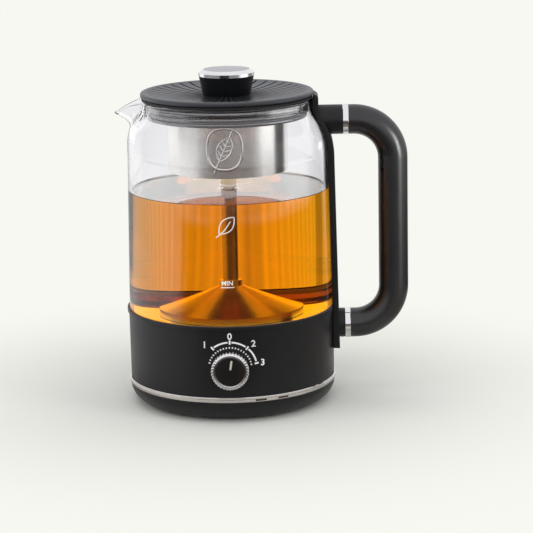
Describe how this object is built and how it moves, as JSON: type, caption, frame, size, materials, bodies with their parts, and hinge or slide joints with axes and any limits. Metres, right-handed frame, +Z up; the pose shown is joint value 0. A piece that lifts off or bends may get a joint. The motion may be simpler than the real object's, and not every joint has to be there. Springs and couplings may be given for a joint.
{
  "type": "automatic tea maker",
  "caption": "Glass tea maker with a black housing, dial, C-shaped handle, ribbed lid and steel strainer over a steam riser and bell, on a separate power base.",
  "frame": {"origin": "on the body's axis, on the surface that the feet stand on", "axes": "+Z up along the body's axis, +X towards the handle, -X the spout, -Y the front with the dial"},
  "size_m": [0.1825, 0.1391, 0.2112],
  "materials": {
    "black_plastic": "fine matte texture",
    "inner_plastic": "plain moulded",
    "dial_black": "satin",
    "black_rubber": "matte",
    "clear_silicone": "translucent, matte",
    "brass": "plain",
    "screw_steel": "zinc plated",
    "chrome": "polished",
    "steel": "brushed",
    "aluminium": "cast",
    "heater_steel": "heat tinted",
    "bakelite": "moulded",
    "clear_glass": "clear",
    "lamp_lens": "dark tinted",
    "green_board": "solder mask",
    "relay_blue": "moulded",
    "board_black": "moulded",
    "wire_red": "silicone sleeve",
    "wire_white": "silicone sleeve",
    "cream_paint": "satin"
  },
  "bodies": {
    "power_base": {"base_shell": "black_plastic", "base_plate": "inner_plastic", "base_feet": "black_rubber", "base_tower": "inner_plastic", "base_contacts": "brass", "base_screws": "screw_steel", "cord_gland": "black_rubber"},
    "kettle": {"trim_ring": "chrome", "lamp_lenses": "lamp_lens", "bottom_cover": "inner_plastic", "cover_screws": "screw_steel", "lamp_board": "green_board", "housing": "black_plastic", "glass_jug": "clear_glass", "jug_gasket": "clear_silicone", "heating_plate": "steel", "heat_spreader": "aluminium", "heater_element": "heater_steel", "thermostat": "bakelite", "thermal_fuse": "heater_steel", "kettle_socket": "inner_plastic", "socket_contacts": "brass", "control_board": "green_board", "relay": "relay_blue", "board_parts": "board_black", "socket_leads": "wire_red", "heater_leads": "wire_white", "rotary_switch": "bakelite", "switch_nut": "screw_steel", "switch_leads": "wire_white", "handle_bracket": "black_plastic", "bracket_pad": "black_rubber", "bracket_screws": "screw_steel", "handle_ring_top": "chrome", "handle_ring_low": "chrome", "handle_grip": "black_plastic", "handle_screws": "screw_steel"},
    "dial": {"dial_knob": "dial_black", "dial_ring": "chrome", "dial_pointer": "cream_paint", "dial_shaft": "screw_steel"},
    "basket": {"strainer_cup": "steel", "seat_ring": "steel", "basket_seal": "black_rubber", "riser_tube": "steel", "riser_nuts": "chrome", "spray_cap": "steel", "bell": "steel"},
    "lid": {"lid_disc": "black_plastic", "lid_plug": "inner_plastic", "lid_seal": "black_rubber", "lid_screws": "screw_steel", "lid_knob": "black_plastic", "knob_ring": "chrome", "knob_cap": "steel", "knob_screw": "screw_steel"}
  },
  "joints": [
    {"name": "kettle_lift", "type": "slide", "parent": "power_base", "child": "kettle", "axis": [0, 0, 1], "range_m": [0, 0.06]},
    {"name": "basket_lift", "type": "slide", "parent": "kettle", "child": "basket", "axis": [0, 0, 1], "range_m": [0, 0.145]},
    {"name": "lid_lift", "type": "slide", "parent": "basket", "child": "lid", "axis": [0, 0, 1], "range_m": [0, 0.04]},
    {"name": "dial_turn", "type": "hinge", "parent": "kettle", "child": "dial", "pos_m": [0, -0.0656, 0.0352], "axis": [0, 1, 0], "range_deg": [-49, 71]}
  ]
}
